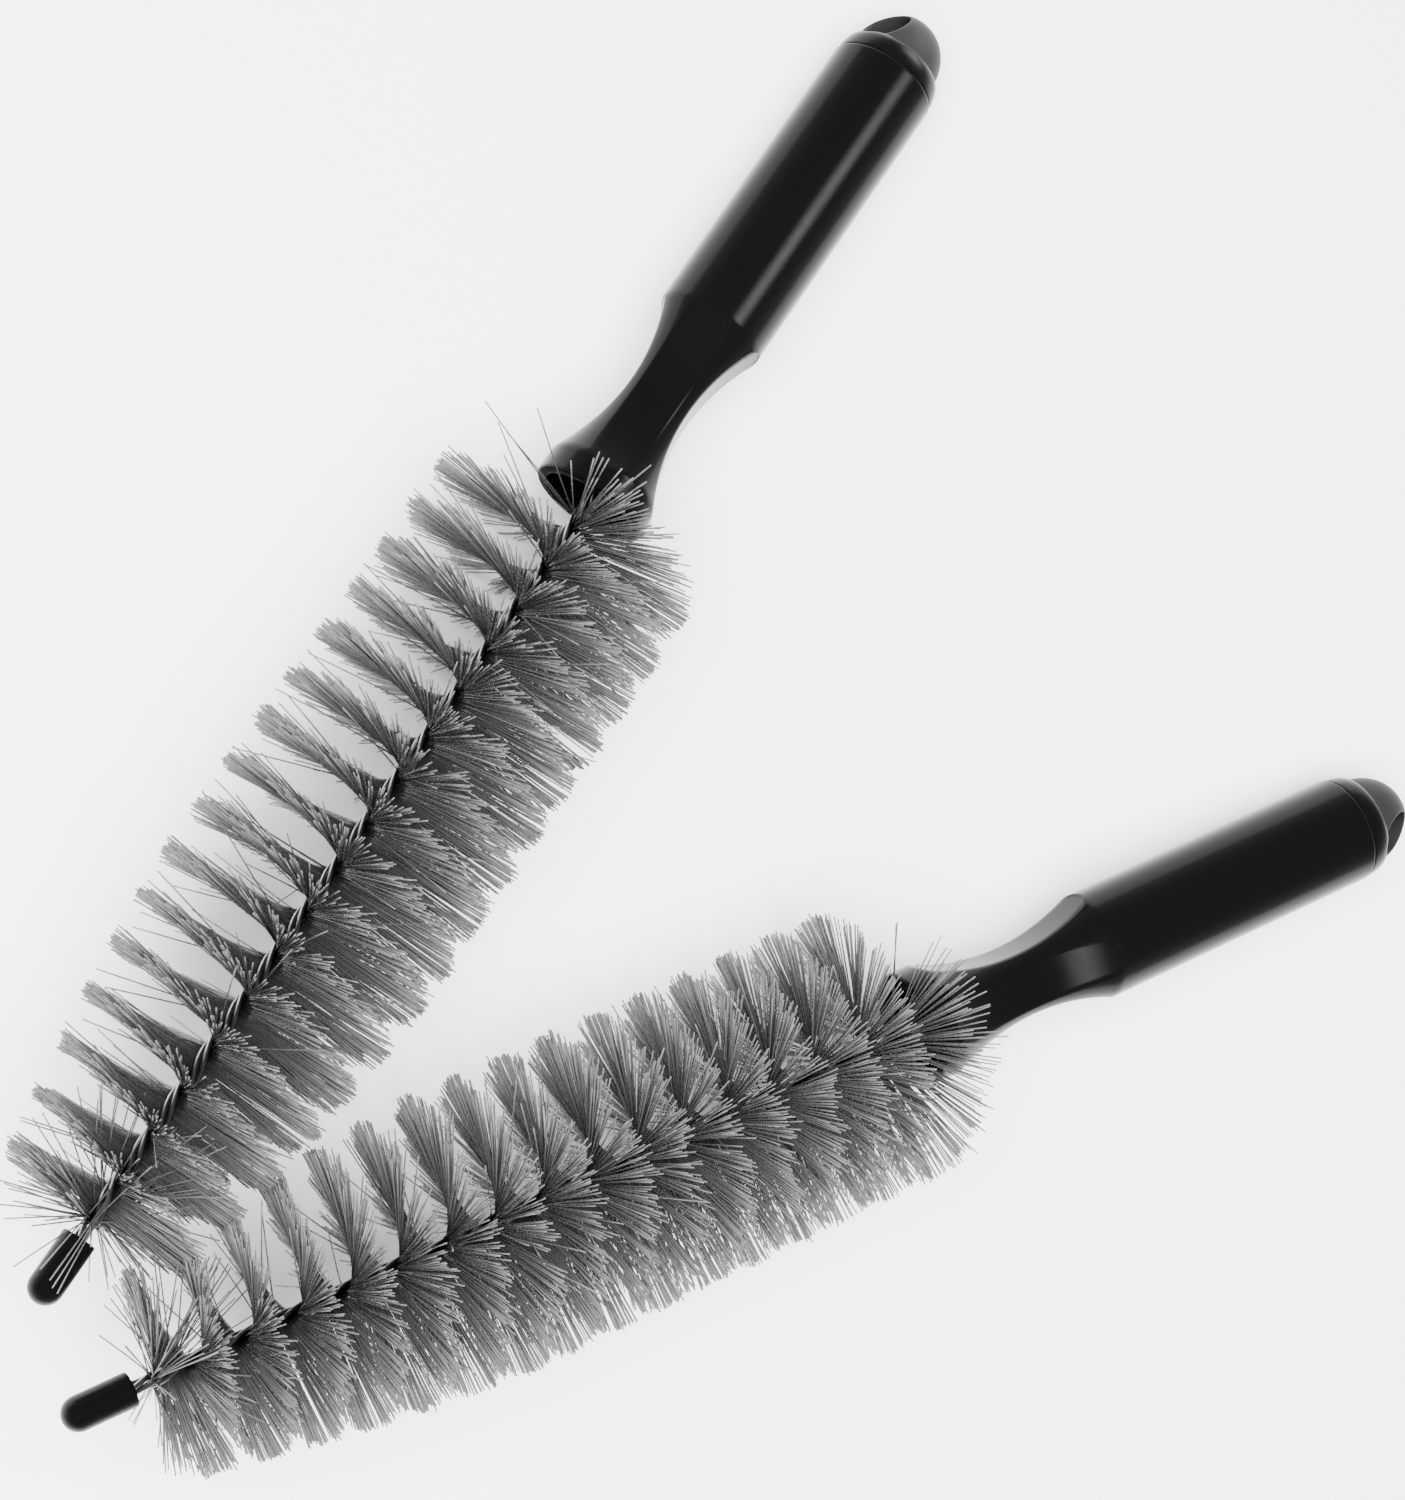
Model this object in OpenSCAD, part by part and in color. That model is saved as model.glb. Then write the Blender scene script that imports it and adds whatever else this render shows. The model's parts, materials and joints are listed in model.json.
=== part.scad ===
// Pair of twisted-wire drum brushes for cleaning wheels and other barrels.
// Each brush lies on the rim of its grip and on the edge of its bristle drum.
// A brush is drawn along +Z from the butt of its grip (z = 0) to its tip,
// and place() then lays it down.  Brush a is on the +Y side.

/* [Pair] */
// Angle between the two brushes, seen from above
pair_angle = 33; // [32:0.5:40]
// Distance between the butts of the two grips, across the pair
butt_span = 260; // [258:1:280]
// How far brush b lies ahead of brush a
stagger = 13; // [0:1:16]

/* [Grip] */
// Radius of the straight grip
grip_r = 16; // [15:0.5:18]
// Where the four scoops start
scoop_start = 91; // [85:1:95]
// Middle of the waist
waist_z = 119; // [117:1:121]
// Distance from the axis to the bottom of a scoop at the waist
scoop_floor_r = 9.3; // [8.8:0.1:10]
// Radius of the waist between the scoops
waist_r = 11.2; // [10.8:0.1:11.6]
// Width of a scoop
scoop_w = 14.6; // [13:0.2:15]
// Radius of the ring at the mouth of the grip
bell_r = 16.8; // [16.2:0.2:17.4]
// Length of the grip
grip_len = 155; // [152:1:160]
// Wall of the hollow grip
grip_wall = 4; // [3:0.5:5]

/* [Hanger plug] */
// How far the plug stands beyond the grip
plug_h = 21; // [20:0.5:24]
// Radius of the hanging eye
eye_r = 6.4; // [5:0.2:6.4]
// Distance from the grip's butt to the middle of the eye
eye_z = 12.4; // [12.4:0.2:13]

/* [Stem] */
// Radius of one strand of wire
wire_r = 0.76; // [0.6:0.02:0.8]
// Length of one full turn of the stem
twist_pitch = 28.4; // [24:0.4:34]
// Radius of the crimp sleeve inside the grip
ferrule_r = 4.5; // [4:0.1:5]
// Radius of the cap on the stem's tip
tip_r = 4.76; // [4.2:0.02:5]
// Distance from the grip's butt to the end of the tip cap
brush_len = 412.2; // [410:0.2:420]

/* [Bristles] */
// Where the bristle drum starts
head_start = 163; // [160:1:170]
// Radius of the drum
head_r = 39.5; // [36:0.5:40]
// Where the drum starts to taper
taper_start = 305; // [295:1:310]
// Radius of the drum at its tip end
head_tip_r = 20.5; // [15:0.5:21]
// Where the bristles end
head_end = 388; // [384:1:390]

/* [Hidden] */
$fn = 48;
eps = 0.01;

// Radius of the arc that a scoop's floor follows, from start to waist
scoop_drop = grip_r - scoop_floor_r;
scoop_run = waist_z - scoop_start;
scoop_arc = (scoop_run * scoop_run + scoop_drop * scoop_drop) / (2 * scoop_drop);
scoop_end_r = scoop_w / 2 + 0.9;
scoop_lip = 0.7;
// The waist between the scoops starts a little further along the grip
land_run = scoop_run - 2;
land_drop = grip_r - waist_r;
land_arc = (land_run * land_run + land_drop * land_drop) / (2 * land_drop);

butt_chamfer = 0.5;
rim_round = 1;
bore_r = grip_r - grip_wall;
bore_end = 78;
bore_taper_end = 86;
mouth_r = bell_r - 3.2;
mouth_floor = 146;
mouth_cone = 3;
socket_start = 94;

seam_gap = 0.2;
shoulder_r = grip_r - 0.35;
shoulder_end = 6.65;
crease_r = 13.5;
dome_r = 13;
dome_base = 6.9;
spigot_len = 14;
fit_gap = 0.05;
bead_z = 10;
bead_r = 0.8;
bead_centre = bore_r - 0.35;
spigot_bore = 9.5;
spigot_web = 3;

ferrule_start = socket_start + 1;
ferrule_end = 141;
ferrule_bore = 2.45;
crimps = [104, 118, 132];
crimp_r = 1.2;

// The four strands lie in two pairs, with the bristles held between the pairs
strand_x = 0.85;
strand_y = 1.2;
strand_start = 97;
strand_end = 404;
strand_sides = 6;
strand_step = 36;
strand_angle = atan2(strand_y, strand_x);
STRANDS = [strand_angle, 180 - strand_angle, 180 + strand_angle, -strand_angle];

tip_start = 392.8;
tip_bore_end = strand_end + 0.5;

// Half thickness of the bristle sheet at the stem, and its flare outwards
sheet_half = 0.3;
sheet_flare = 2.2;
sheet_step = 30;
stem_clear = 2.5;

// The axis rises so that the grip's rim and the first bristles both touch z = 0
lean = atan((head_r - grip_r) / (head_start - butt_chamfer));
seam_height = grip_r * cos(lean) - butt_chamfer * sin(lean);
half_angle = pair_angle / 2;
// Distance along X for each millimetre along a brush
along_x = cos(lean) * cos(half_angle);
plug_nose_r = 11.5;
tip_reach = (brush_len - tip_r) * along_x + tip_r;
plug_reach = (plug_h - plug_nose_r) * along_x + plug_nose_r;
seam_x = (stagger + tip_reach - plug_reach) / 2;

// Turn of the scoops and of the hanging eye about each brush's axis
SCOOP_TURN = [18, -7];
EYE_TURN = [63, 143];

// Lays a brush down: which is 0 for brush a and 1 for brush b
module place(which) {
    side = which == 0 ? 1 : -1;
    translate([seam_x - which * stagger, side * butt_span / 2, seam_height])
        rotate([0, 0, 180 + side * half_angle])
            rotate([0, 90 - lean, 0])
                children();
}

// A ring cut or bead of round section about the brush's axis
module ring(centre_r, section_r, z) {
    translate([0, 0, z])
        rotate_extrude($fn = 96)
            translate([centre_r, 0])
                circle(r = section_r);
}

// One scoop: a flat floor that follows an arc, with a round end towards the grip
module scoop() {
    intersection() {
        translate([scoop_floor_r + scoop_arc, 0, waist_z])
            rotate([90, 0, 0])
                cylinder(r = scoop_arc, h = scoop_w, center = true);
        union() {
            translate([0, 0, scoop_start + scoop_lip + scoop_end_r])
                rotate([0, 90, 0])
                    cylinder(r = scoop_end_r, h = 2 * grip_r);
            translate([0, -scoop_end_r + 0.3, scoop_start + scoop_lip + scoop_end_r])
                cube([2 * grip_r, 2 * scoop_end_r - 0.6, 2 * scoop_run]);
        }
    }
}

// Outside of the grip before its scoops and bores are cut
module grip_blank() {
    cylinder(r1 = grip_r - butt_chamfer, r2 = grip_r, h = butt_chamfer);
    translate([0, 0, butt_chamfer])
        cylinder(r = grip_r, h = waist_z - butt_chamfer);
    translate([0, 0, waist_z])
        rotate_extrude($fn = 96) {
            square([bell_r - rim_round, grip_len - waist_z]);
            square([bell_r, grip_len - waist_z - rim_round]);
            translate([bell_r - rim_round, grip_len - waist_z - rim_round])
                circle(r = rim_round);
        }
}

module handle(which) {
    color("#141414") place(which) rotate([0, 0, SCOOP_TURN[which]])
        difference() {
            grip_blank();
            ring(waist_r + land_arc, land_arc, waist_z);
            for (turn = [0 : 90 : 270])
                rotate([0, 0, turn]) scoop();
            // Hollow of the grip, with the groove that the plug's bead snaps into
            translate([0, 0, -1])
                cylinder(r = bore_r, h = bore_end + 1);
            translate([0, 0, bore_end - eps])
                cylinder(r1 = bore_r, r2 = ferrule_r, h = bore_taper_end - bore_end);
            ring(bead_centre, bead_r + fit_gap, bead_z);
            // Socket of the crimp sleeve, and the mouth around the stem
            translate([0, 0, socket_start])
                cylinder(r = ferrule_r, h = grip_len);
            translate([0, 0, mouth_floor - mouth_cone])
                cylinder(r1 = ferrule_r + 2, r2 = mouth_r, h = mouth_cone + eps);
            translate([0, 0, mouth_floor])
                cylinder(r = mouth_r, h = grip_len);
        }
}

// Outline of the plug outside the grip, from its rim to the top of its dome
function shoulder_points(n) = [for (i = [0 : n])
    let (t = 90 * i / n)
    [crease_r + (shoulder_r - crease_r) * cos(t) , -0.6 - (shoulder_end - 0.6) * sin(t)]];
function dome_points(n) = [for (i = [0 : n])
    let (t = 90 * i / n)
    [dome_r * pow(cos(t), 0.9), -dome_base - (plug_h - dome_base) * sin(t)]];

module hanger_plug(which) {
    color("#161616") place(which)
        difference() {
            union() {
                rotate_extrude($fn = 96)
                    polygon(concat(
                        [[0, -seam_gap], [shoulder_r - 0.3, -seam_gap]],
                        shoulder_points(6),
                        [for (p = dome_points(10)) [max(p[0], 0), p[1]]]));
                translate([0, 0, -seam_gap - eps])
                    cylinder(r = bore_r - fit_gap, h = spigot_len + seam_gap + eps);
                ring(bead_centre, bead_r - eps, bead_z);
            }
            translate([0, 0, -spigot_web])
                cylinder(r = spigot_bore, h = spigot_len + spigot_web + 1);
            rotate([0, 0, EYE_TURN[which]])
                translate([0, 0, -eye_z])
                    rotate([0, 90, 0])
                        cylinder(r = eye_r, h = 4 * dome_r, center = true);
        }
}

module stem_ferrule(which) {
    color("#9a9a9a") place(which)
        difference() {
            translate([0, 0, ferrule_start])
                cylinder(r = ferrule_r, h = ferrule_end - ferrule_start);
            translate([0, 0, ferrule_start - 1])
                cylinder(r = ferrule_bore, h = ferrule_end);
            for (z = crimps)
                ring(ferrule_r + 0.6, crimp_r, z);
        }
}

// The stem turns clockwise towards its tip, seen from the grip
function twist(z) = -360 * (z - head_start) / twist_pitch;

// Joins equal rings of points into one closed solid.  Each four-sided patch is
// split in two, and other_split lists the patches that are split the other way
module skin(rings, other_split = []) {
    n = len(rings[0]);
    last = len(rings) - 1;
    triangles = [for (i = [0 : last - 1], j = [0 : n - 1])
        let (a = i * n + j, b = i * n + (j + 1) % n)
        let (c = b + n, d = a + n)
        each (len(search(j, other_split)) > 0 ? [[a, d, b], [b, d, c]] : [[a, c, b], [a, d, c]])];
    bottom = [[for (j = [0 : n - 1]) j]];
    top = [[for (j = [n - 1 : -1 : 0]) last * n + j]];
    polyhedron(points = [for (r = rings) each r], faces = concat(triangles, bottom, top));
}

module stem_wire(which, number) {
    lay_r = norm([strand_x, strand_y]);
    steps = ceil((strand_end - strand_start) / twist_pitch * 360 / strand_step);
    rings = [for (i = [0 : steps])
        let (z = strand_start + (strand_end - strand_start) * i / steps)
        let (turn = twist(z) + STRANDS[number - 1])
        [for (j = [0 : strand_sides - 1])
            let (a = turn + 360 * j / strand_sides)
            [lay_r * cos(turn) + wire_r * cos(a), lay_r * sin(turn) + wire_r * sin(a), z]]];
    color("#b8b8b8") place(which) skin(rings);
}

// Radius of the bristle drum along the brush
function drum_r(z) = z < taper_start ? head_r
    : head_r - (head_r - head_tip_r) * (z - taper_start) / (head_end - taper_start);

// Half outline of the bristle sheet, from the stem out to one edge and back
function sheet_wing(edge) = [
    [stem_clear, -sheet_half], [edge, -edge * tan(sheet_flare)],
    [edge, edge * tan(sheet_flare)], [stem_clear, sheet_half]];

// The bristles spread from the stem as one sheet that winds around it.  Both
// faces of the sheet are split along the same lines, so it stays thin
module bristles(which) {
    steps = ceil((head_end - head_start) / twist_pitch * 360 / sheet_step);
    rings = [for (i = [0 : steps])
        let (z = head_start + (head_end - head_start) * i / steps)
        let (wing = sheet_wing(drum_r(z)))
        let (turn = twist(z))
        [for (p = concat(wing, -wing))
            [p[0] * cos(turn) - p[1] * sin(turn), p[0] * sin(turn) + p[1] * cos(turn), z]]];
    color("#8c8c8c") place(which) skin(rings, other_split = [2, 6, 7]);
}

module tip_cap(which) {
    color("#1a1a1a") place(which)
        difference() {
            union() {
                translate([0, 0, tip_start])
                    cylinder(r = tip_r, h = brush_len - tip_r - tip_start);
                translate([0, 0, brush_len - tip_r])
                    sphere(r = tip_r);
            }
            translate([0, 0, tip_start - 1])
                cylinder(r = ferrule_bore, h = tip_bore_end - tip_start + 1);
        }
}

handle(0);  // handle_a
hanger_plug(0);  // hanger_plug_a
stem_ferrule(0);  // stem_ferrule_a
stem_wire(0, 1);  // stem_wire_a1
stem_wire(0, 2);  // stem_wire_a2
stem_wire(0, 3);  // stem_wire_a3
stem_wire(0, 4);  // stem_wire_a4
bristles(0);  // bristles_a
tip_cap(0);  // tip_cap_a
handle(1);  // handle_b
hanger_plug(1);  // hanger_plug_b
stem_ferrule(1);  // stem_ferrule_b
stem_wire(1, 1);  // stem_wire_b1
stem_wire(1, 2);  // stem_wire_b2
stem_wire(1, 3);  // stem_wire_b3
stem_wire(1, 4);  // stem_wire_b4
bristles(1);  // bristles_b
tip_cap(1);  // tip_cap_b
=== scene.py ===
"""Looks of a pair of twisted-wire drum brushes that lie side by side on a pale floor.

Each brush is built in its own frame, in millimetres: z runs from the butt of the
grip to the tip, and x points down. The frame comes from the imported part's joints.
The studio, the lamps and the camera are in metres.
"""

import json
import math

import bpy
import numpy as np
from mathutils import Matrix, Vector


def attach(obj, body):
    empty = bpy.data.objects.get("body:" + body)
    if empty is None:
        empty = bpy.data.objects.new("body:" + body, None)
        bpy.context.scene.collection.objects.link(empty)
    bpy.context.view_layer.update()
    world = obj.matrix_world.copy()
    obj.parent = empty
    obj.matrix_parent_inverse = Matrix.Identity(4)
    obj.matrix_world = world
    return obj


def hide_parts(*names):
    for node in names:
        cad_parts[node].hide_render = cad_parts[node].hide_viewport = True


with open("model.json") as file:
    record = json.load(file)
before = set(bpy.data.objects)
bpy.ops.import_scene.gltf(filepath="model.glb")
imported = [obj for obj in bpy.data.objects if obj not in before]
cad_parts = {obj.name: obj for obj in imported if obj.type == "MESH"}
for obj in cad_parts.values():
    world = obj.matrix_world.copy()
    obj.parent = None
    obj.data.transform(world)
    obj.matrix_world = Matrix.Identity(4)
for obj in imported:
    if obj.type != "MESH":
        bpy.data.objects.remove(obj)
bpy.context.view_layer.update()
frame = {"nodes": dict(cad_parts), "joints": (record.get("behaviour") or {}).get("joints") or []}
MM = 0.001

# Grip. A reach is how far a hollow may go from the waist, and soft is how widely its edge is blended
GRIP_R, GRIP_LEN, BUTT_ROUND = 16.0, 155.0, 0.55
BELL_R, LIP_ROUND, LIP_INSIDE = 16.8, 1.0, 1.2
WAIST_Z, WAIST_R = 119.0, 11.2
LAND_ARC, LAND_REACH, LAND_SOFT = 72.8, 30.0, 0.5
SCOOPS, SCOOP_FLOOR_R, SCOOP_ARC, SCOOP_REACH, SCOOP_SOFT = 4, 9.3, 61.9, 32.0, 0.55
SCOOP_START, SCOOP_END_R, SCOOP_END_SLOPE = 91.7, 8.2, 3.0
NO_SCOOP = 99.0
BORE_R, BORE_END, BORE_TAPER_END = 12.0, 78.0, 86.0
SOCKET_R, SOCKET_START, MOUTH_FLOOR, MOUTH_R = 4.5, 94.0, 146.0, 13.6
FUNNEL_WIDTH, FUNNEL_DEPTH = 2, 3
GRIP_SIDES = 360
BARREL_START, BARREL_END, BARREL_ROWS = 0.9, 84, 48
# First height, last height and step of the rows along the waist and the scoops
HOLLOW_ROWS = ((84.5, 99, 0.3), (99, 138, 0.6), (138, 154, 0.35))

# Hanger plug. Its dome stands below z = 0, and its spigot above
PLUG_H, EYE_R, EYE_Z, EYE_SOFT = 21.0, 6.4, 12.4, 1.3
SPIGOT_R, SPIGOT_LEN, SEAM = BORE_R - 0.05, 14.0, -0.2
CREASE_R, SHOULDER_WIDTH, SHOULDER_START, SHOULDER_HEIGHT = 13.5, 2.15, 0.6, 6.05
DOME_R, DOME_START, DOME_POWER, SATIN_START = 13.0, 6.9, 0.9, -6.8
SPIGOT_BORE_R, SPIGOT_BORE_END, SPIGOT_BORE_SOFT = 9.5, 3.0, 0.4
PLUG_LOW, PLUG_HIGH, PLUG_STEP = (-16.4, -16.4, -21.6), (16.4, 16.4, 14.6), 0.3
PROFILE_CELL, PROFILE_R, PROFILE_LOW, PROFILE_HIGH = 0.05, 24.5, -25, 18

# Stem and tip cap
TWIST_START, PITCH = 163.0, 28.4
WIRE_R, STRAND_X, STRAND_Y = 0.76, 0.85, 1.2
WIRE_START, WIRE_END, WIRE_POINTS, WIRE_SIDES = 97.0, 404.0, 320, 12
TIP_R, TIP_START, BRUSH_LEN, TIP_BORE, TIP_SIDES = 4.76, 392.8, 412.2, 2.45, 64
WIRE_SLACK, SKIRT_END, BODY_START = 0.5, 5, 6

# Bristles. The drum's profile is pairs of height and radius
HEAD_START, HEAD_END = 159.8, 388.0
DRUM = ((160, 40), (300, 40), (340, 35.5), (365, 31.5), (380, 29), (395, 26))
FILAMENT_R, FILAMENTS_PER_MM = 0.2, 16.0
SEGMENTS, SIDES, BRISTLE_PIECES = 5, 5, 4
# In metres, and how much of their depth below it flattened filaments keep
FLOOR_CLEARANCE, FLATTENED = 0.00035, 0.02
# How the filaments spread: leans and turns in degrees, and reaches and lengths in millimetres.
# A share is of all filaments there, and FIRST_TURN and LAST_TURN multiply END_TURN
THIN_SHARE = 0.22
TUFT_LENGTH, TUFT_LEAN, TUFT_TURN = 0.9, 1.1, 2.4
OWN_LEAN, OWN_TURN = 1.7, 2.4
WILD_SHARE, WILD_LEAN, WILD_TURN = 0.025, 10, 13
FIRST_REACH, FIRST_LEAN, FIRST_TURN = 4.2, 12, 1.3
LAST_REACH, LAST_LEAN, LAST_SPREAD, LAST_TURN = 2.6, 4, 17, 1.4
END_TURN = 17
SWEPT_HEIGHTS, SWEPT_SHARES = (190, 380), (1, 0.55)
STRAY_SHARE, STRAY_REACH, STRAY_LEAN, STRAY_SPREAD = 0.14, 9, -48, 16
OVER_CAP_REACH, OVER_CAP_TOP, OVER_CAP_LEAN = 16, 0.8, 80.0
END_CLEARANCE = 0.6
# LONGEST is in drum radii, LENGTH_SPREAD is a part of the length, and the others are millimetres
LONGEST, LENGTH_SPREAD, CUT_SPREAD = 1.1, 0.012, 0.4
PINCH, CURL, CURL_ACROSS = 0.3, 0.25, 0.3
# The part of its length in which a filament bends away from square
BEND = 0.12
SHADE_SPREAD, SHADE_RANGE = 0.08, (0.78, 1.25)
BRIGHT_SHARE, BRIGHT = 0.04, 1.5
UV_MARGIN = 0.08

# Materials. Tones are linear, and a bump's depth is in metres
PLASTIC_IOR, NYLON_IOR, VINYL_IOR = 1.17, 1.53, 1.22
BUMP_DEPTH = 0.0002

# Studio. The sky's stops are pairs of height and tone, from the horizon up
FLOOR_HALF_SIDE, FLOOR_TONE = 20.0, 0.92
SKY_STRENGTH = 2.0
SKY = ((0.0, 1.0), (0.2, 0.55), (0.42, 0.24), (0.56, 0.16), (0.7, 0.11))
LAMP_AIM = (0, 0, 0.03)
# Name, place, size, power, whether it is mirrored in gloss, and the one piece that it lights
LAMPS = (
    ("Ceiling", (-0.3, 0.2, 1.9), (1.6, 1.6), 280.0, False, None),
    ("Box behind plug a", (1.6, 0.2, 0.5), (1.4, 1.0), 110.0, True, "plug_a"),
    ("Box over grip a", (1.18, -0.34, 1.3), (0.9, 0.9), 62.0, True, "grip_a"),
    ("Box over grip b", (0.02, -0.62, 1.15), (0.55, 0.36), 12.0, True, "grip_b"),
)
CAMERA_PLACE, CAMERA_AIM = (-0.15396, 0.18282, 0.93035), (0.03246, 0.01172, 0.03)
CAMERA_ROLL, CAMERA_LENS, SENSOR_WIDTH = 95.58, 80.6, 36.0
CLIP_START, CLIP_END = 0.05, 20.0


class Brush:
    """One brush: its letter, its frame, and how its scoops and eye are turned.

    sparse is how far from the mouth the head is thin, in millimetres. splay is the lean of
    its first bristles towards the grip, and swept is the lean of those on top, in degrees.
    over_cap is the share of the last bristles on top that lie along the tip cap.
    """

    def __init__(self, letter, scoop_turn, eye_turn, sparse, splay, swept, over_cap, seed):
        joint = next(j for j in frame["joints"] if j["name"] == f"plug_{letter}_turn")
        z = np.array(joint["axis"], float)
        z /= np.linalg.norm(z)
        y = np.cross((0, 0, 1), z)
        y /= np.linalg.norm(y)
        self.letter, self.scoop_turn, self.eye_turn = letter, scoop_turn, eye_turn
        self.sparse, self.splay, self.swept, self.over_cap = sparse, splay, swept, over_cap
        self.body, self.plug_body = f"brush_{letter}", f"plug_{letter}"
        self.origin = np.array(joint["pos_m"], float)
        self.axes = np.array([np.cross(y, z), y, z])
        self.random = np.random.default_rng(seed)

    def world(self, points):
        return self.origin + (points @ self.axes) * MM


def build(name, points, quads, triangles, material, body, nodes):
    """Makes a mesh piece from world points, and puts it on its body."""
    quads = np.asarray(quads, np.int32).reshape(-1, 4)
    triangles = np.asarray(triangles, np.int32).reshape(-1, 3)
    corners = np.concatenate([quads.ravel(), triangles.ravel()])
    sizes = np.concatenate([np.full(len(quads), 4), np.full(len(triangles), 3)])
    mesh = bpy.data.meshes.new(name)
    mesh.vertices.add(len(points))
    mesh.vertices.foreach_set("co", points.astype(np.float32).ravel())
    mesh.loops.add(len(corners))
    mesh.loops.foreach_set("vertex_index", corners)
    mesh.polygons.add(len(sizes))
    mesh.polygons.foreach_set("loop_start", np.cumsum(sizes) - sizes)
    mesh.update(calc_edges=True)
    mesh.shade_smooth()
    mesh.materials.append(material)
    piece = bpy.data.objects.new(name, mesh)
    bpy.context.scene.collection.objects.link(piece)
    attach(piece, body)
    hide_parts(*nodes)
    return piece


def circle(sides):
    return np.linspace(0, 2 * math.pi, sides, endpoint=False)


def tube_quads(steps, sides):
    """Quads of a tube that is open at both ends, with this many steps along it."""
    i, j = np.meshgrid(np.arange(steps), np.arange(sides), indexing="ij")
    k = (j + 1) % sides
    quads = [i * sides + j, i * sides + k, (i + 1) * sides + k, (i + 1) * sides + j]
    return np.stack(quads, -1).reshape(-1, 4)


def rings(centre, first, second, radius, sides):
    """A ring of points around each centre, in the plane of two directions there."""
    around = circle(sides)[:, None]
    first, second = first[..., None, :], second[..., None, :]
    return centre[..., None, :] + radius * (np.cos(around) * first + np.sin(around) * second)


def turned(radius, height, angles):
    """Closed surface about the axis. radius is rows by angles, and both end rows become points."""
    rows, sides = radius.shape
    tall = np.repeat(height[:, None], sides, 1)
    ring = np.stack([radius * np.cos(angles), radius * np.sin(angles), tall], -1)
    body = ring[1:-1].reshape(-1, 3)
    ends = np.array([[0, 0, height[0]], [0, 0, height[-1]]])
    points = np.concatenate([body, ends])
    j = np.arange(sides)
    k = (j + 1) % sides
    first, last = len(body), len(body) + 1
    top = (rows - 3) * sides
    triangles = np.concatenate([
        np.stack([np.full(sides, first), k, j], -1),
        np.stack([np.full(sides, last), top + j, top + k], -1),
    ])
    return points, tube_quads(rows - 3, sides), triangles


def filleted(corners, radii):
    """An outline with its inner corners rounded, and a point beyond each to keep the flats flat."""
    steps, spare = 4, 0.25
    corners = [np.array(c, float) for c in corners]
    out = [corners[0]]
    for before, here, after, radius in zip(corners, corners[1:], corners[2:], radii):
        a, b = before - here, after - here
        a_length, b_length = np.linalg.norm(a), np.linalg.norm(b)
        a, b = a / a_length, b / b_length
        half = math.acos(max(-1.0, min(1.0, float(a @ b)))) / 2
        reach = min(radius / math.tan(half), 0.45 * a_length, 0.45 * b_length)
        if reach + spare < 0.5 * a_length:
            out.append(here + a * (reach + spare))
        start, end = here + a * reach, here + b * reach
        for t in np.linspace(0, 1, steps + 1):
            out.append((1 - t) ** 2 * start + 2 * t * (1 - t) * here + t * t * end)
        if reach + spare < 0.5 * b_length:
            out.append(here + b * (reach + spare))
    out.append(corners[-1])
    return np.array(out)


def soft_min(a, b, k):
    """The lower of two values, blended where they are closer than k."""
    h = np.maximum(k - np.abs(a - b), 0) / k
    return np.minimum(a, b) - h * h * k / 4


def soft_max(a, b, k):
    return -soft_min(-a, -b, k)


# ---------------------------------------------------------------- materials


def new_material(name):
    material = bpy.data.materials.new(name)
    material.use_nodes = True
    tree = material.node_tree
    return material, tree, tree.nodes["Principled BSDF"]


def noise(tree, scale, detail, roughness):
    """The value of a noise texture in object coordinates, in metres."""
    coords = tree.nodes.new("ShaderNodeTexCoord")
    texture = tree.nodes.new("ShaderNodeTexNoise")
    texture.inputs["Scale"].default_value = scale
    texture.inputs["Detail"].default_value = detail
    texture.inputs["Roughness"].default_value = roughness
    tree.links.new(coords.outputs["Object"], texture.inputs["Vector"])
    return texture.outputs["Fac"]


def attribute(tree, name):
    node = tree.nodes.new("ShaderNodeAttribute")
    node.attribute_name = name
    return node


def spread(tree, source, low, high, start=0.3, end=0.7):
    """Maps a value from start..end to low..high."""
    node = tree.nodes.new("ShaderNodeMapRange")
    for socket, value in (("From Min", start), ("From Max", end), ("To Min", low), ("To Max", high)):
        node.inputs[socket].default_value = value
    tree.links.new(source, node.inputs["Value"])
    return node.outputs["Result"]


def rough(tree, shader, source, low, high, start=0.3, end=0.7):
    tree.links.new(spread(tree, source, low, high, start, end), shader.inputs["Roughness"])


def bump(tree, shader, source, strength):
    node = tree.nodes.new("ShaderNodeBump")
    node.inputs["Strength"].default_value = strength
    node.inputs["Distance"].default_value = BUMP_DEPTH
    tree.links.new(source, node.inputs["Height"])
    tree.links.new(node.outputs["Normal"], shader.inputs["Normal"])


def grey(value, tint=0.0):
    return (value, value, value * (1 + tint), 1.0)


def two_tones(tree, shader, source, first, second):
    """Colours a shader from one grey to another by a value."""
    mix = tree.nodes.new("ShaderNodeMix")
    mix.data_type = "RGBA"
    mix.inputs["A"].default_value = grey(first)
    mix.inputs["B"].default_value = grey(second)
    tree.links.new(source, mix.inputs["Factor"])
    tree.links.new(mix.outputs["Result"], shader.inputs["Base Color"])


def tone_ramp(tree, source, stops):
    """Maps a value to a grey. The stops are pairs of position and tone, in order."""
    node = tree.nodes.new("ShaderNodeValToRGB")
    elements = node.color_ramp.elements
    first, *between, last = stops
    elements[0].position, elements[0].color = first[0], grey(first[1])
    elements[1].position, elements[1].color = last[0], grey(last[1])
    for position, tone in between:
        element = elements.new(position)
        element.color = grey(tone)
    tree.links.new(source, node.inputs["Fac"])
    return node.outputs["Color"]


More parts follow.
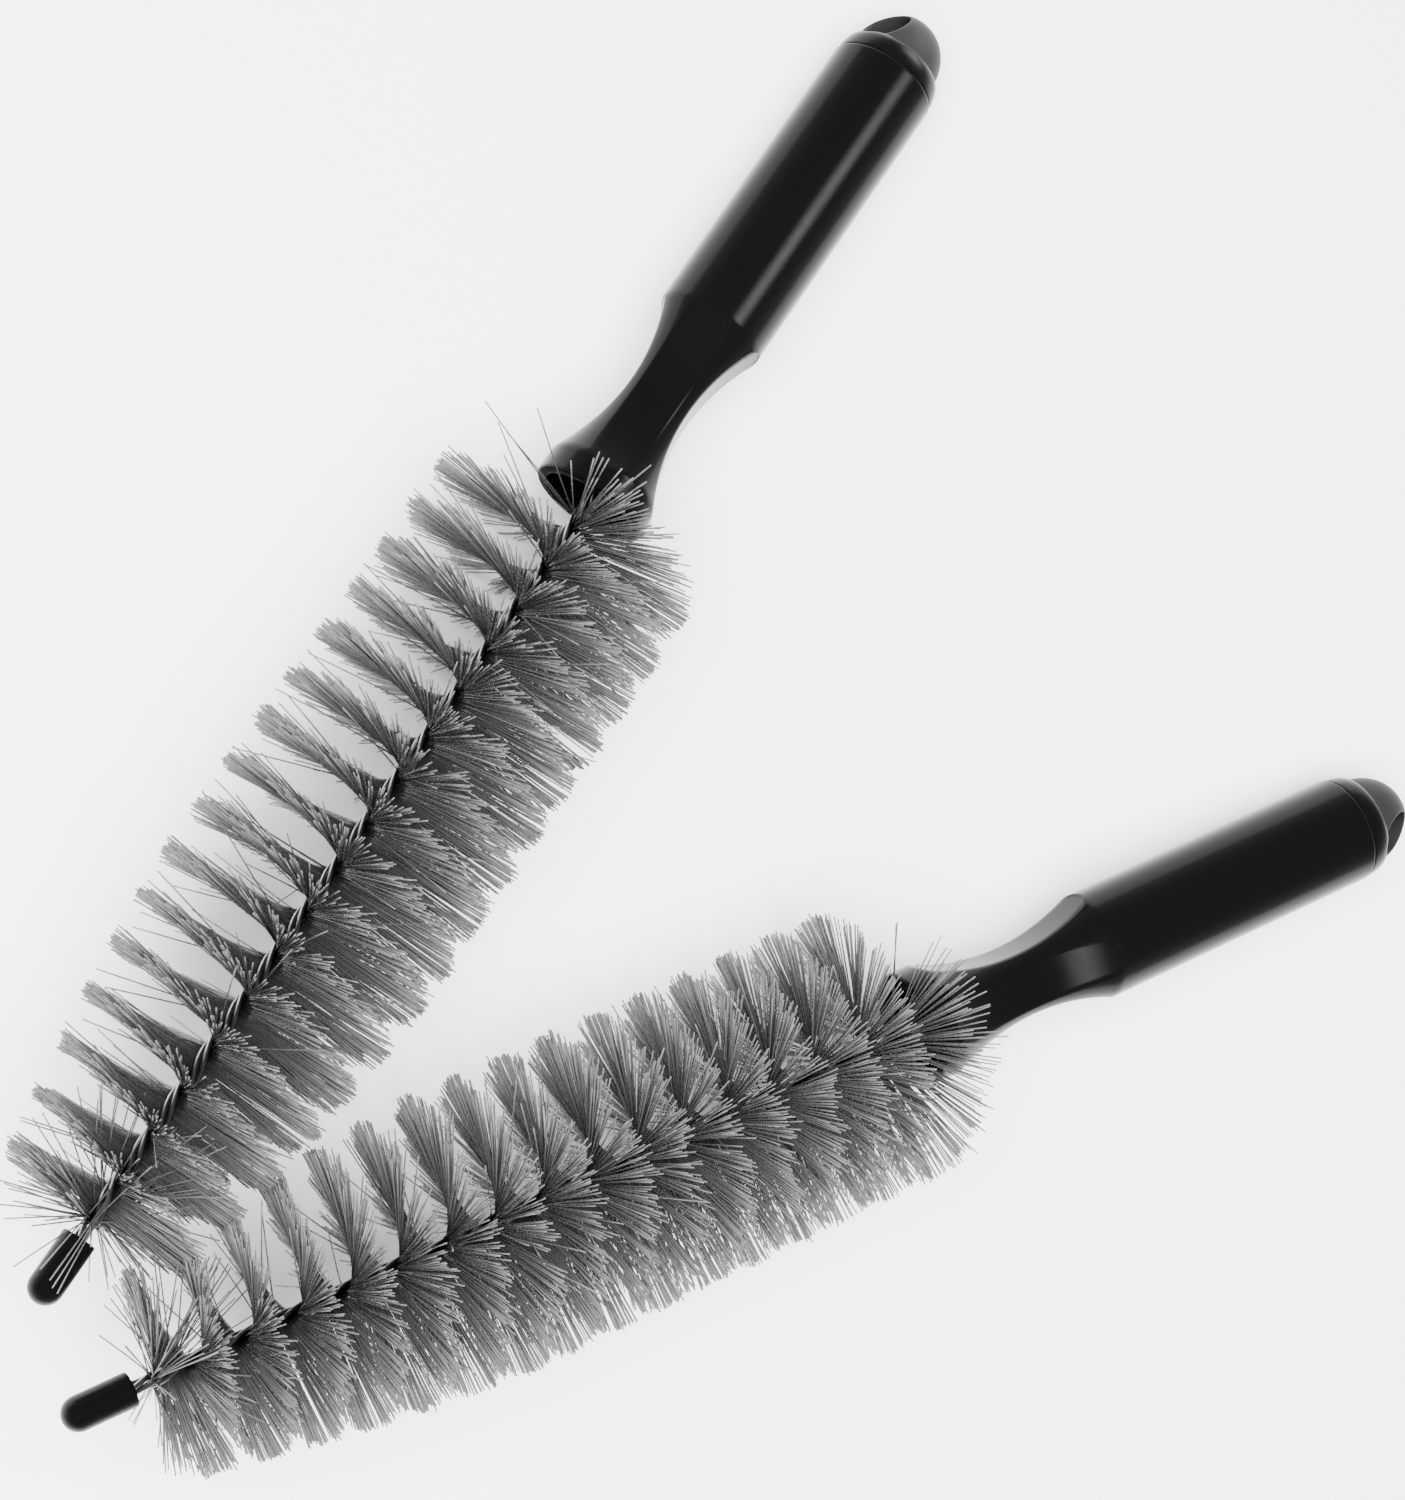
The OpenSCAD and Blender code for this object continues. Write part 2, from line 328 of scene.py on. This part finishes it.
def plastic(name, tone, ripple):
    """Black moulded plastic with a faint ripple, and no roughness of its own yet."""
    material, tree, shader = new_material(name)
    shader.inputs["Base Color"].default_value = grey(tone, 0.05)
    shader.inputs["IOR"].default_value = PLASTIC_IOR
    bump(tree, shader, noise(tree, scale=700.0, detail=2.0, roughness=0.5), ripple)
    return material, tree, shader


def gloss_plastic(name, tone, rough_low, rough_high, ripple):
    material, tree, shader = plastic(name, tone, ripple)
    rough(tree, shader, noise(tree, scale=160.0, detail=5.0, roughness=0.65), rough_low, rough_high)
    return material


def plug_plastic(name, shoulder, dome):
    """The grip's plastic on the plug's shoulder, and a paler satin on its dome."""
    material, tree, shader = plastic(name, shoulder, 0.06)
    on_dome = attribute(tree, "dome").outputs["Fac"]
    two_tones(tree, shader, on_dome, shoulder, dome)
    rough(tree, shader, on_dome, 0.24, 0.5, 0.0, 1.0)
    return material


def steel(name, tone, roughness):
    material, tree, shader = new_material(name)
    shader.inputs["Metallic"].default_value = 1.0
    drawn = noise(tree, scale=900.0, detail=4.0, roughness=0.6)
    two_tones(tree, shader, drawn, tone * 0.8, tone)
    rough(tree, shader, drawn, roughness - 0.08, roughness + 0.08)
    return material


def nylon(name, root, middle, tip):
    """Grey filament, with painted shade that darkens it towards the stem and painted light that
    pales it towards its cut end.
    """
    material, tree, shader = new_material(name)
    along = attribute(tree, "along").outputs["Fac"]
    # The ramp is painted shade near the stem and painted light towards the cut end
    stops = ((0.06, root), (0.3, (root + middle) * 0.42), (0.62, middle), (1.0, tip))
    mix = tree.nodes.new("ShaderNodeMix")
    mix.data_type = "RGBA"
    mix.blend_type = "MULTIPLY"
    mix.inputs["Factor"].default_value = 1.0
    tree.links.new(tone_ramp(tree, along, stops), mix.inputs["A"])
    tree.links.new(attribute(tree, "shade").outputs["Color"], mix.inputs["B"])
    tree.links.new(mix.outputs["Result"], shader.inputs["Base Color"])
    rough(tree, shader, noise(tree, scale=300.0, detail=2.0, roughness=0.5), 0.2, 0.34)
    shader.inputs["IOR"].default_value = NYLON_IOR
    return material


def vinyl(name, tone):
    material, tree, shader = new_material(name)
    shader.inputs["Base Color"].default_value = grey(tone)
    shader.inputs["IOR"].default_value = VINYL_IOR
    skin = noise(tree, scale=500.0, detail=4.0, roughness=0.6)
    rough(tree, shader, skin, 0.24, 0.34)
    bump(tree, shader, skin, 0.15)
    return material


GRIP = gloss_plastic("Grip plastic", tone=0.002, rough_low=0.13, rough_high=0.2, ripple=0.05)
PLUG = plug_plastic("Plug plastic", shoulder=0.002, dome=0.014)
STEM = steel("Stem wire", tone=0.34, roughness=0.36)
CRIMP = steel("Ferrule steel", tone=0.55, roughness=0.35)
# The root tone is painted shade at the stem, and the tip tone is painted light at the cut end
NYLON = nylon("Bristle nylon", root=0.011, middle=0.046, tip=0.09)
VINYL = vinyl("Tip vinyl", tone=0.0015)


# ---------------------------------------------------------------- grip


def grip_radius(z, angles):
    """Outer radius of the grip at height z, one value for each angle from a scoop's middle."""
    dz = z - WAIST_Z
    base = GRIP_R if dz <= 0 else BELL_R
    if abs(dz) < LAND_REACH:
        land = WAIST_R + LAND_ARC - math.sqrt(LAND_ARC**2 - dz * dz)
        base = float(soft_min(np.array(base), np.array(land), LAND_SOFT))
    radius = np.full(len(angles), base)
    if abs(dz) < SCOOP_REACH:
        floor = SCOOP_FLOOR_R + SCOOP_ARC - math.sqrt(SCOOP_ARC**2 - dz * dz)
        for scoop in range(SCOOPS):
            offset = (angles - scoop * math.pi / 2 + math.pi) % (2 * math.pi) - math.pi
            near = np.abs(offset) < 1.0
            cut = np.where(near, floor / np.cos(np.where(near, offset, 0)), NO_SCOOP)
            # The round end of the scoop narrows its start
            into_end = SCOOP_START + SCOOP_END_R - z
            if into_end > 0:
                half = math.sqrt(max(SCOOP_END_R**2 - into_end**2, 0.0))
                over = np.abs(base * np.sin(offset)) - half
                cut = np.where(over > 0, cut + SCOOP_END_SLOPE * over, cut)
            radius = soft_min(radius, cut, SCOOP_SOFT)
    return radius


def handle(brush):
    angles = circle(GRIP_SIDES)
    rows = []

    def plain(points):
        rows.extend((np.full(len(angles), max(r, 0.0)), z) for r, z in points)

    butt_r, lip_r, lip_z = GRIP_R - BUTT_ROUND, BELL_R - LIP_ROUND, GRIP_LEN - LIP_ROUND
    bore = [
        (0, BORE_TAPER_END),
        (SOCKET_R, BORE_TAPER_END),
        (BORE_R, BORE_END),
        (BORE_R, 0),
        (butt_r, 0),
    ]
    plain(filleted(bore, [0.3, 0.8, 0.3]))
    for t in np.linspace(0.25, 1, 4) * math.pi / 2:
        plain([(butt_r + BUTT_ROUND * math.sin(t), BUTT_ROUND - BUTT_ROUND * math.cos(t))])
    plain([(GRIP_R, z) for z in np.linspace(BARREL_START, BARREL_END, BARREL_ROWS)])
    heights = np.concatenate([np.arange(*row) for row in HOLLOW_ROWS])
    rows.extend((grip_radius(z, angles), z) for z in heights)
    lip = np.linspace(0, 1, 6) * math.pi / 2
    plain([(lip_r + LIP_ROUND * math.cos(t), lip_z + LIP_ROUND * math.sin(t)) for t in lip])
    mouth = [
        (BELL_R - LIP_INSIDE, GRIP_LEN),
        (MOUTH_R, GRIP_LEN),
        (MOUTH_R, MOUTH_FLOOR),
        (SOCKET_R + FUNNEL_WIDTH, MOUTH_FLOOR - FUNNEL_DEPTH),
        (SOCKET_R, MOUTH_FLOOR - FUNNEL_DEPTH),
        (SOCKET_R, SOCKET_START),
        (0, SOCKET_START),
    ]
    plain(filleted(mouth, [0.5, 0.8, 0.6, 0.3, 0.3]))
    radius, height = np.array([r for r, _ in rows]), np.array([z for _, z in rows])
    points, quads, triangles = turned(radius, height, angles + math.radians(brush.scoop_turn))
    build(
        f"grip_{brush.letter}", brush.world(points), quads, triangles, GRIP, brush.body,
        [f"handle_{brush.letter}"],
    )


# ---------------------------------------------------------------- hanger plug


def outline_distance(outline, r, z):
    """Signed distance from points to a closed outline, below zero inside it."""
    tiny = 1e-12
    best = np.full(r.shape, 1e9)
    inside = np.zeros(r.shape, bool)
    for (ar, az), (br, bz) in zip(outline, np.roll(outline, -1, 0)):
        er, ez = br - ar, bz - az
        t = np.clip(((r - ar) * er + (z - az) * ez) / max(er * er + ez * ez, tiny), 0, 1)
        best = np.minimum(best, (r - ar - t * er) ** 2 + (z - az - t * ez) ** 2)
        crosses = (az > z) != (bz > z)
        inside ^= crosses & (r < ar + (z - az) * er / (ez if abs(ez) > tiny else tiny))
    return np.where(inside, -1, 1) * np.sqrt(best)


def plug_outline():
    """Half outline of the plug: spigot, shoulder, crease and dome, mirrored across the axis."""
    half = [(SPIGOT_R, SPIGOT_LEN), (SPIGOT_R, SEAM), (15.2, SEAM), (15.5, -0.3)]
    for t in np.linspace(0, math.pi / 2, 12):
        r = CREASE_R + SHOULDER_WIDTH * math.cos(t)
        half.append((r, -SHOULDER_START - SHOULDER_HEIGHT * math.sin(t)))
    for t in np.linspace(0.02, 0.98, 30) * math.pi / 2:
        r = DOME_R * math.cos(t) ** DOME_POWER
        half.append((r, -DOME_START - (PLUG_H - DOME_START) * math.sin(t)))
    half.append((0.0, -PLUG_H))
    return np.array(half + [(-r, z) for r, z in reversed(half[:-1])])


def surface_net(distance, low, high, step):
    """Closed quads around the zero level of a distance function of points."""
    passes, probe, furthest, flattest = 5, 0.05, 0.6 * step, 0.25
    counts = np.ceil((np.array(high) - low) / step).astype(int) + 1
    axes = [low[i] + step * np.arange(counts[i]) for i in range(3)]
    grid = np.stack(np.meshgrid(*axes, indexing="ij"), -1)
    inside = distance(grid.reshape(-1, 3)).reshape(counts) < 0
    filled = sum(
        inside[a : a + counts[0] - 1, b : b + counts[1] - 1, c : c + counts[2] - 1].astype(np.int8)
        for a in (0, 1) for b in (0, 1) for c in (0, 1)
    )
    cells = np.argwhere((filled > 0) & (filled < 8))
    number = np.full(filled.shape, -1, np.int32)
    number[tuple(cells.T)] = np.arange(len(cells))
    points = np.array(low) + (cells + 0.5) * step
    for _ in range(passes):
        here = distance(points)
        steps = np.eye(3) * probe
        slope = [(distance(points + e) - distance(points - e)) / (2 * probe) for e in steps]
        slope = np.stack(slope, -1)
        steepness = np.maximum((slope**2).sum(1, keepdims=True), flattest)
        points -= np.clip(here[:, None] * slope / steepness, -furthest, furthest)
    quads = []
    for axis in range(3):
        u, v = (axis + 1) % 3, (axis + 2) % 3
        first = np.take(inside, np.arange(counts[axis] - 1), axis)
        second = np.take(inside, np.arange(1, counts[axis]), axis)
        edge = np.argwhere(first != second)
        edge = edge[(edge[:, u] > 0) & (edge[:, v] > 0)]
        out = first[tuple(edge.T)]
        du, dv = np.eye(3, dtype=int)[u], np.eye(3, dtype=int)[v]
        corners = ((0, 0), (1, 0), (1, 1), (0, 1))
        quad = np.stack([number[tuple((edge - du * a - dv * b).T)] for a, b in corners], -1)
        quads.append(np.where(out[:, None], quad, quad[:, ::-1]))
    return points, np.concatenate(quads)


def hanger_plug(brush):
    r_axis = np.arange(0, PROFILE_R, PROFILE_CELL)
    z_axis = np.arange(PROFILE_LOW, PROFILE_HIGH, PROFILE_CELL)
    table = outline_distance(plug_outline(), *np.meshgrid(r_axis, z_axis, indexing="ij"))

    def profile(r, z):
        a = np.clip(r / PROFILE_CELL, 0, len(r_axis) - 1.001)
        b = np.clip((z - PROFILE_LOW) / PROFILE_CELL, 0, len(z_axis) - 1.001)
        i, j = a.astype(int), b.astype(int)
        a, b = a - i, b - j
        lower = table[i, j] * (1 - a) + table[i + 1, j] * a
        upper = table[i, j + 1] * (1 - a) + table[i + 1, j + 1] * a
        return lower * (1 - b) + upper * b

    turn = math.radians(brush.eye_turn)

    def distance(p):
        r = np.hypot(p[:, 0], p[:, 1])
        across = -p[:, 0] * math.sin(turn) + p[:, 1] * math.cos(turn)
        solid = profile(r, p[:, 2])
        bore = np.maximum(r - SPIGOT_BORE_R, -SPIGOT_BORE_END - p[:, 2])
        eye = np.hypot(across, p[:, 2] + EYE_Z) - EYE_R
        return soft_max(soft_max(solid, -bore, SPIGOT_BORE_SOFT), -eye, EYE_SOFT)

    points, quads = surface_net(distance, PLUG_LOW, PLUG_HIGH, PLUG_STEP)
    piece = build(
        f"plug_{brush.letter}", brush.world(points), quads, [], PLUG, brush.plug_body,
        [f"hanger_plug_{brush.letter}"],
    )
    dome = piece.data.attributes.new("dome", "FLOAT", "POINT")
    dome.data.foreach_set("value", (points[:, 2] < SATIN_START).astype(np.float32))


# ---------------------------------------------------------------- stem and tip cap


def twist(z):
    return -2 * math.pi * (z - TWIST_START) / PITCH


def stem(brush):
    z = np.linspace(WIRE_START, WIRE_END, WIRE_POINTS)
    # The two pairs close up where no bristles hold them apart
    apart = np.interp(z, [HEAD_END - 1, HEAD_END + 3], [STRAND_Y, WIRE_R + 0.04])
    sides = WIRE_SIDES
    quads = tube_quads(len(z) - 1, sides)
    # A fan closes each end, around a middle point that follows the rings
    end, middle = (len(z) - 1) * sides, len(z) * sides
    j = np.arange(sides)
    k = (j + 1) % sides
    caps = [[middle, b, a] for a, b in zip(j, k)]
    caps += [[middle + 1, end + a, end + b] for a, b in zip(j, k)]
    for number, (x_side, y_side) in enumerate(((1, 1), (-1, 1), (-1, -1), (1, -1)), 1):
        turn = twist(z)
        x, y = x_side * STRAND_X, y_side * apart
        centre_x = x * np.cos(turn) - y * np.sin(turn)
        centre_y = x * np.sin(turn) + y * np.cos(turn)
        centre = np.stack([centre_x, centre_y, z], -1)
        out = centre * (1, 1, 0) / np.hypot(x, y)[:, None]
        along = np.gradient(centre, axis=0)
        along /= np.linalg.norm(along, axis=1, keepdims=True)
        ring = rings(centre, out, np.cross(along, out), WIRE_R, sides)
        points = np.concatenate([ring.reshape(-1, 3), centre[[0, -1]]])
        build(
            f"wire_{brush.letter}{number}", brush.world(points), quads, caps, STEM, brush.body,
            [f"stem_wire_{brush.letter}{number}"],
        )


def tip_cap(brush):
    skirt = [
        (0, WIRE_END + WIRE_SLACK),
        (TIP_BORE, WIRE_END + WIRE_SLACK),
        (TIP_BORE, TIP_START),
        (TIP_R, TIP_START),
        (TIP_R, TIP_START + SKIRT_END),
    ]
    dome_z = BRUSH_LEN - TIP_R
    body = [(TIP_R, z) for z in np.linspace(TIP_START + BODY_START, dome_z, 8)]
    rise = np.linspace(0.05, 1, 16) * math.pi / 2
    dome = [(TIP_R * math.cos(t), dome_z + TIP_R * math.sin(t)) for t in rise]
    rows = np.array(list(filleted(skirt, [0.3, 0.3, 0.7])) + body + dome)
    angles = circle(TIP_SIDES)
    radius = np.repeat(np.maximum(rows[:, :1], 0), len(angles), 1)
    points, quads, triangles = turned(radius, rows[:, 1], angles)
    build(
        f"tip_{brush.letter}", brush.world(points), quads, triangles, VINYL, brush.body,
        [f"tip_cap_{brush.letter}"],
    )


# ---------------------------------------------------------------- bristles


def drum_radius(z):
    return np.interp(z, *zip(*DRUM))


def filament_angles(brush, root, half):
    """Lean along the stem and azimuth about it of every half filament, in radians."""
    draw, count = brush.random, len(root)
    # Neighbours that were pinched together lean and turn together
    tuft = np.floor(root / TUFT_LENGTH).astype(int)
    tufts = tuft.max() + 1
    side = (half > 0).astype(int)
    tuft_lean = draw.normal(0, TUFT_LEAN, (2, tufts))
    tuft_turn = draw.normal(0, TUFT_TURN, (2, tufts))
    lean = tuft_lean[side, tuft] + draw.normal(0, OWN_LEAN, count)
    turn = tuft_turn[side, tuft] + draw.normal(0, OWN_TURN, count)
    wild = draw.random(count) < WILD_SHARE
    lean = np.where(wild, draw.normal(0, WILD_LEAN, count), lean)
    turn = np.where(wild, draw.normal(0, WILD_TURN, count), turn)
    # Both ends of the head splay outwards, because nothing holds them up
    first = np.exp(-(root - HEAD_START) / FIRST_REACH)
    last = np.exp(-(HEAD_END - root) / LAST_REACH)
    tipwards = last * draw.normal(LAST_LEAN, LAST_SPREAD, count)
    gripwards = first * np.abs(draw.normal(brush.splay, FIRST_LEAN, count))
    lean += tipwards - gripwards
    turn += (FIRST_TURN * first + LAST_TURN * last) * draw.normal(0, END_TURN, count)
    azimuth = twist(root) + half + np.radians(turn)
    on_top = np.maximum(-np.cos(azimuth), 0)
    lean -= brush.swept * on_top * np.interp(root, SWEPT_HEIGHTS, SWEPT_SHARES)
    # A few strays near the tip lean back over the stem, and a few lie along the cap
    stray = (draw.random(count) < STRAY_SHARE) & (root > HEAD_END - STRAY_REACH)
    lean = np.where(stray, draw.normal(STRAY_LEAN, STRAY_SPREAD, count), lean)
    over_cap = draw.random(count) < brush.over_cap
    over_cap &= (root > HEAD_END - OVER_CAP_REACH) & (on_top > OVER_CAP_TOP)
    lean = np.where(over_cap, OVER_CAP_LEAN, lean)
    # Clear of the rim of the grip at one end, and of the cap at the other
    rim = np.degrees(np.arctan2(root - GRIP_LEN - END_CLEARANCE, BELL_R + END_CLEARANCE))
    cap = np.degrees(np.arctan2(TIP_START - END_CLEARANCE - root, TIP_R + END_CLEARANCE))
    return np.radians(np.clip(lean, -rim, cap)), azimuth


def filament_curves(brush):
    """Middle line of every half filament, from the stem to its cut end, and its shade."""
    draw = brush.random
    pairs = int((HEAD_END - HEAD_START) * FILAMENTS_PER_MM)
    root = HEAD_START + (np.arange(pairs) + draw.random(pairs)) / FILAMENTS_PER_MM
    # The first few millimetres of the head are sparse
    kept = np.clip((root - HEAD_START) / brush.sparse, THIN_SHARE, 1)
    root = root[draw.random(pairs) < kept]
    half = np.tile([0.0, math.pi], len(root))
    root = np.repeat(root, 2)
    count = len(root)
    lean, azimuth = filament_angles(brush, root, half)
    # Each is cut where it meets the drum, which depends on where its end is
    length = drum_radius(root) / np.cos(lean)
    for _ in range(3):
        length = drum_radius(root + length * np.sin(lean)) / np.cos(lean)
    length = np.minimum(length, LONGEST * drum_radius(root))
    length = length * (1 + draw.normal(0, LENGTH_SPREAD, count))
    length += draw.uniform(-CUT_SPREAD, CUT_SPREAD, count)
    t = np.linspace(0, 1, SEGMENTS + 1)[None, :]
    out = np.stack([np.cos(azimuth), np.sin(azimuth), np.zeros(count)], -1)
    across = np.stack([-np.sin(azimuth), np.cos(azimuth), np.zeros(count)], -1)
    up = np.array([0, 0, 1.0])
    offset = draw.uniform(-PINCH, PINCH, count)[:, None]
    # Leaves the pinch square to the stem, then bends to its lean, with a little curl beyond
    curl = draw.normal(0, CURL, count)[:, None]
    curl_across = draw.normal(0, CURL_ACROSS, count)[:, None]
    eased = t * t / (t + BEND) * (1 + BEND)
    outwards = out[:, None] * (np.cos(lean) * length)[:, None, None] * t[..., None]
    rise = root[:, None] + (np.sin(lean) * length)[:, None] * eased + curl * t * (t - 0.55) * 2
    drift = offset + curl_across * t * (t - 0.5) * 2
    points = outwards + up * rise[..., None] + across[:, None] * drift[..., None]
    shade = np.clip(draw.normal(1, SHADE_SPREAD, count), *SHADE_RANGE)
    shade = np.where(draw.random(count) < BRIGHT_SHARE, shade * BRIGHT, shade)
    return points, shade


def filament_unwrap():
    """Corners of one filament's unwrap, from 0 to 1: those of its sides, then those of its ends."""
    i, j = np.meshgrid(np.arange(SEGMENTS), np.arange(SIDES), indexing="ij")
    corners = ((j, i), (j + 1, i), (j + 1, i + 1), (j, i + 1))
    sides = np.stack([np.stack(corner, -1) for corner in corners], -2).reshape(-1, 4, 2)
    root_end = [[(0.1, 0.02), (0.2, 0.02), (0.3, 0.04)]] * (SIDES - 2)
    cut_end = [[(0.1, 0.97), (0.2, 0.97), (0.3, 0.99)]] * (SIDES - 2)
    return sides / (SIDES, SEGMENTS), np.array(root_end + cut_end)


def bristles(brush):
    points, shade = filament_curves(brush)
    centre = brush.world(points.reshape(-1, 3)).reshape(points.shape)
    # Filaments that would pass through the floor are flattened onto it
    low = FLOOR_CLEARANCE + FILAMENT_R * MM
    z = centre[..., 2]
    centre[..., 2] = np.where(z < low, low + FLATTENED * (low - z), z)
    along = np.gradient(centre, axis=1)
    along /= np.linalg.norm(along, axis=2, keepdims=True)
    # Any direction does that no filament points in
    side = np.cross(along, np.array([0.31, 0.17, 0.93]))
    side /= np.linalg.norm(side, axis=2, keepdims=True)
    ring = rings(centre, side, np.cross(along, side), FILAMENT_R * MM, SIDES)
    stride = (SEGMENTS + 1) * SIDES
    quad = tube_quads(SEGMENTS, SIDES)
    end = SEGMENTS * SIDES
    fan = [(0, b + 1, b) for b in range(1, SIDES - 1)]
    fan += [(end, end + b, end + b + 1) for b in range(1, SIDES - 1)]
    quad_uv, fan_uv = filament_unwrap()
    edges = np.linspace(0, len(points), BRISTLE_PIECES + 1).astype(int)
    for number, (a, b) in enumerate(zip(edges, edges[1:]), 1):
        count = b - a
        start = (np.arange(count) * stride)[:, None, None]
        quads = (start + quad).reshape(-1, 4)
        triangles = (start + np.array(fan)).reshape(-1, 3)
        piece = build(
            f"bristles_{brush.letter}{number}", ring[a:b].reshape(-1, 3), quads, triangles,
            NYLON, brush.body, [f"bristles_{brush.letter}"],
        )
        mesh = piece.data
        # How far along its filament each ring is, which places the nylon's painted shade and painted
        # light
        t = np.tile(np.repeat(np.linspace(0, 1, SEGMENTS + 1), SIDES), count)
        layer = mesh.attributes.new("along", "FLOAT", "POINT")
        layer.data.foreach_set("value", t.astype(np.float32))
        tone = np.repeat(shade[a:b], stride)
        tones = np.stack([tone, tone, tone, np.ones_like(tone)], -1)
        layer = mesh.attributes.new("shade", "FLOAT_COLOR", "POINT")
        layer.data.foreach_set("color", tones.astype(np.float32).ravel())
        # Each filament has its own cell of the unwrap
        across = math.ceil(math.sqrt(count))
        cell = np.stack([np.arange(count) % across, np.arange(count) // across], -1)
        corner, size = cell[:, None, None] + UV_MARGIN, 1 - 2 * UV_MARGIN
        uv = [((corner + size * part) / across).reshape(-1, 2) for part in (quad_uv, fan_uv)]
        layer = mesh.uv_layers.new(name="OFBake")
        layer.data.foreach_set("uv", np.concatenate(uv).astype(np.float32).ravel())


# ---------------------------------------------------------------- studio


def floor():
    far = FLOOR_HALF_SIDE
    corners = [(-far, -far, 0), (far, -far, 0), (far, far, 0), (-far, far, 0)]
    mesh = bpy.data.meshes.new("floor")
    mesh.from_pydata(corners, [], [(0, 1, 2, 3)])
    ground = bpy.data.objects.new("floor", mesh)
    bpy.context.scene.collection.objects.link(ground)
    material, _, shader = new_material("Pale floor")
    shader.inputs["Base Color"].default_value = grey(FLOOR_TONE)
    shader.inputs["Roughness"].default_value = 0.9
    shader.inputs["Specular IOR Level"].default_value = 0.1
    mesh.materials.append(material)


def sky():
    """A plain sky that is brightest at the horizon and dim overhead."""
    world = bpy.data.worlds.new("Studio")
    bpy.context.scene.world = world
    world.use_nodes = True
    tree = world.node_tree
    background = tree.nodes["Background"]
    coords = tree.nodes.new("ShaderNodeTexCoord")
    split = tree.nodes.new("ShaderNodeSeparateXYZ")
    tree.links.new(coords.outputs["Generated"], split.inputs["Vector"])
    tree.links.new(tone_ramp(tree, split.outputs["Z"], SKY), background.inputs["Color"])
    background.inputs["Strength"].default_value = SKY_STRENGTH


def soft_edges(tree):
    """Makes a lamp brightest in the middle, and lets it fade to nothing at its rim."""
    face = tree.nodes.new("ShaderNodeNewGeometry")
    off_centre = tree.nodes.new("ShaderNodeVectorMath")
    off_centre.operation = "DISTANCE"
    off_centre.inputs[1].default_value = (0.5, 0.5, 0.0)
    tree.links.new(face.outputs["Parametric"], off_centre.inputs[0])
    fade = spread(tree, off_centre.outputs["Value"], 1.0, 0.0, 0.0, 0.5)
    tree.links.new(fade, tree.nodes["Emission"].inputs["Strength"])


def lamps():
    for name, place, size, power, mirrored, only in LAMPS:
        lamp = bpy.data.lights.new(name, "AREA")
        lamp.shape = "RECTANGLE"
        lamp.size, lamp.size_y = size
        lamp.energy = power
        lamp.use_nodes = True
        if mirrored:
            soft_edges(lamp.node_tree)
        stand = bpy.data.objects.new(name, lamp)
        stand.location = place
        aim = Vector(LAMP_AIM) - Vector(place)
        stand.rotation_euler = aim.to_track_quat("-Z", "Y").to_euler()
        stand.visible_camera = False
        stand.visible_glossy = mirrored
        if only:
            lit = bpy.data.collections.new(f"Lit by {name}")
            lit.objects.link(bpy.data.objects[only])
            stand.light_linking.receiver_collection = lit
        bpy.context.scene.collection.objects.link(stand)


def camera():
    """Looks down on the pair from beyond brush a, rolled so that the grips point up and right."""
    place = Vector(CAMERA_PLACE)
    ahead = (Vector(CAMERA_AIM) - place).normalized()
    roll = math.radians(CAMERA_ROLL)
    level = ahead.cross(Vector((0, 0, 1))).normalized()
    upright = level.cross(ahead)
    right = math.cos(roll) * level + math.sin(roll) * upright
    up = math.cos(roll) * upright - math.sin(roll) * level
    data = bpy.data.cameras.new("Camera")
    data.lens, data.sensor_width = CAMERA_LENS, SENSOR_WIDTH
    data.clip_start, data.clip_end = CLIP_START, CLIP_END
    eye = bpy.data.objects.new("Camera", data)
    turn = Matrix((right, up, -ahead)).transposed()
    eye.matrix_world = Matrix.Translation(place) @ turn.to_4x4()
    bpy.context.scene.collection.objects.link(eye)
    bpy.context.scene.camera = eye


brushes = (
    Brush("a", scoop_turn=18, eye_turn=63, sparse=5.0, splay=5, swept=0, over_cap=0.07, seed=11),
    Brush("b", scoop_turn=-7, eye_turn=143, sparse=1.5, splay=13, swept=8, over_cap=0, seed=29),
)
for brush in brushes:
    handle(brush)
    hanger_plug(brush)
    stem(brush)
    tip_cap(brush)
    bristles(brush)
    # The crimp sleeve keeps its CAD shape and gets a steel material
    ferrule = frame["nodes"][f"stem_ferrule_{brush.letter}"]
    ferrule.data.materials.clear()
    ferrule.data.materials.append(CRIMP)
floor()
sky()
lamps()
camera()
